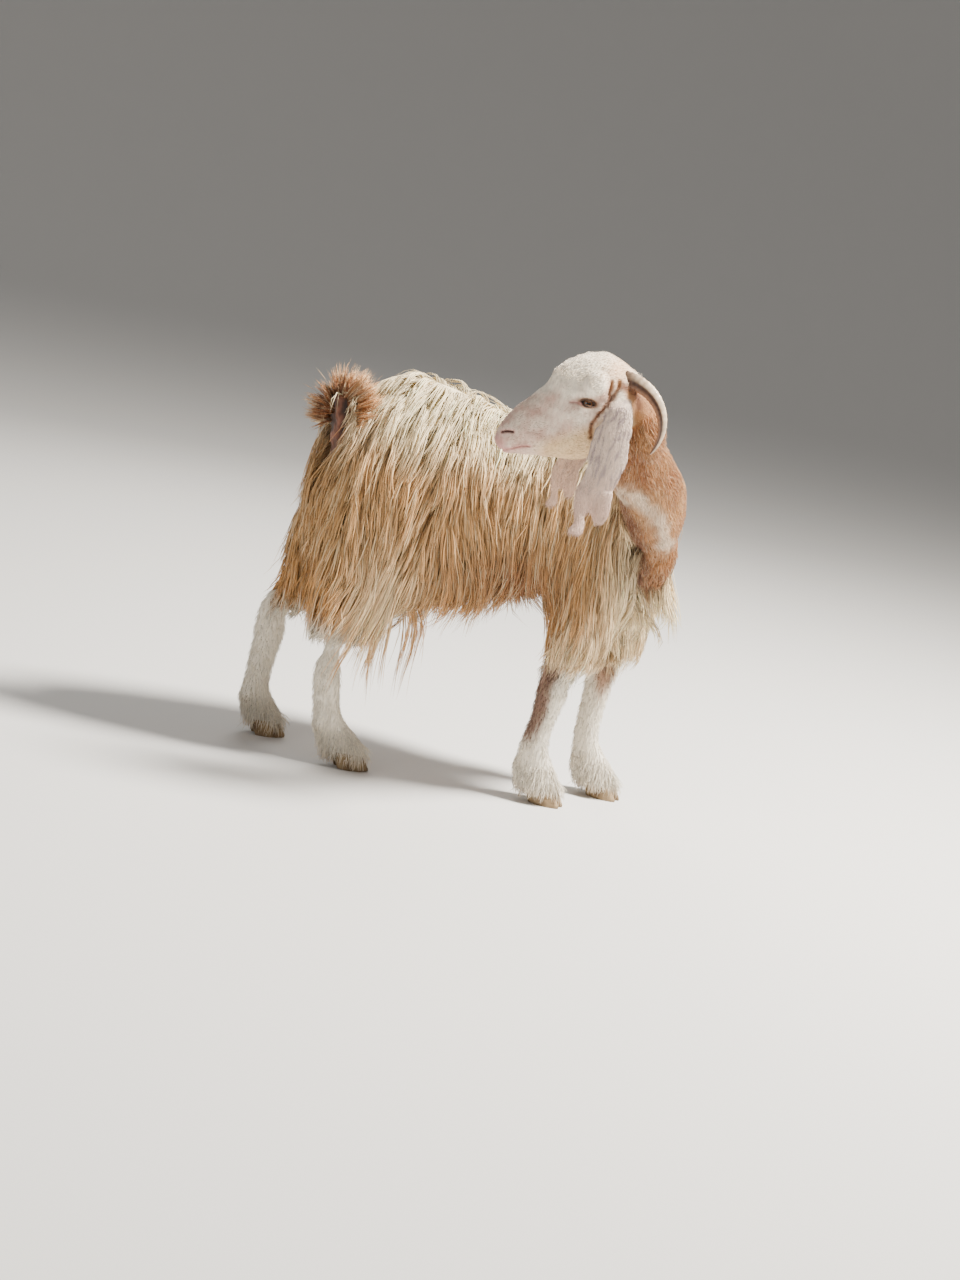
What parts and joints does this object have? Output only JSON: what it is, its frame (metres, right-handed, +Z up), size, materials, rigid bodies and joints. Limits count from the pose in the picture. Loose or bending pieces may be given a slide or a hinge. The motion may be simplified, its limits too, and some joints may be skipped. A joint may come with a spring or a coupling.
{
  "type": "goat",
  "caption": "Life-size standing long-haired goat with hanging ears and small swept horns, trunk bent and head turned back along its right flank.",
  "frame": {"origin": "on the floor, under the middle of the box round the whole goat", "axes": "+X towards the forequarters, +Y towards the goat's left side (the head is turned to -Y), +Z up"},
  "size_m": [0.7772, 0.553, 0.8332],
  "materials": {
    "coat_cream": "long silky hair, cream on the back and golden tan on the flanks",
    "coat_rust": "short sleek rust-brown hair with a cream streak",
    "coat_gold": "long hanging golden-tan hair",
    "coat_white": "short close white hair over pinkish skin",
    "ear_skin": "thin pinkish-white skin with grey freckles and short hair",
    "horn": "ringed keratin, pale outside and dark inside",
    "hoof": "dull horn with growth rings",
    "eye": "wet brown eye with a level slit pupil"
  },
  "bodies": {
    "root": {"trunk": "coat_cream", "head": "coat_white", "neck": "coat_rust", "tail": "coat_gold", "ear_left": "ear_skin", "horn_left": "horn", "eye_left": "eye", "ear_right": "ear_skin", "horn_right": "horn", "eye_right": "eye", "leg_hind_right_upper": "coat_gold", "leg_hind_right_lower": "coat_white", "claw_hind_right_inner": "hoof", "claw_hind_right_outer": "hoof", "leg_hind_left_upper": "coat_gold", "leg_hind_left_lower": "coat_white", "claw_hind_left_inner": "hoof", "claw_hind_left_outer": "hoof", "leg_fore_right_upper": "coat_gold", "leg_fore_right_lower": "coat_white", "claw_fore_right_inner": "hoof", "claw_fore_right_outer": "hoof", "leg_fore_left_upper": "coat_gold", "leg_fore_left_lower": "coat_white", "claw_fore_left_inner": "hoof", "claw_fore_left_outer": "hoof"}
  },
  "joints": []
}
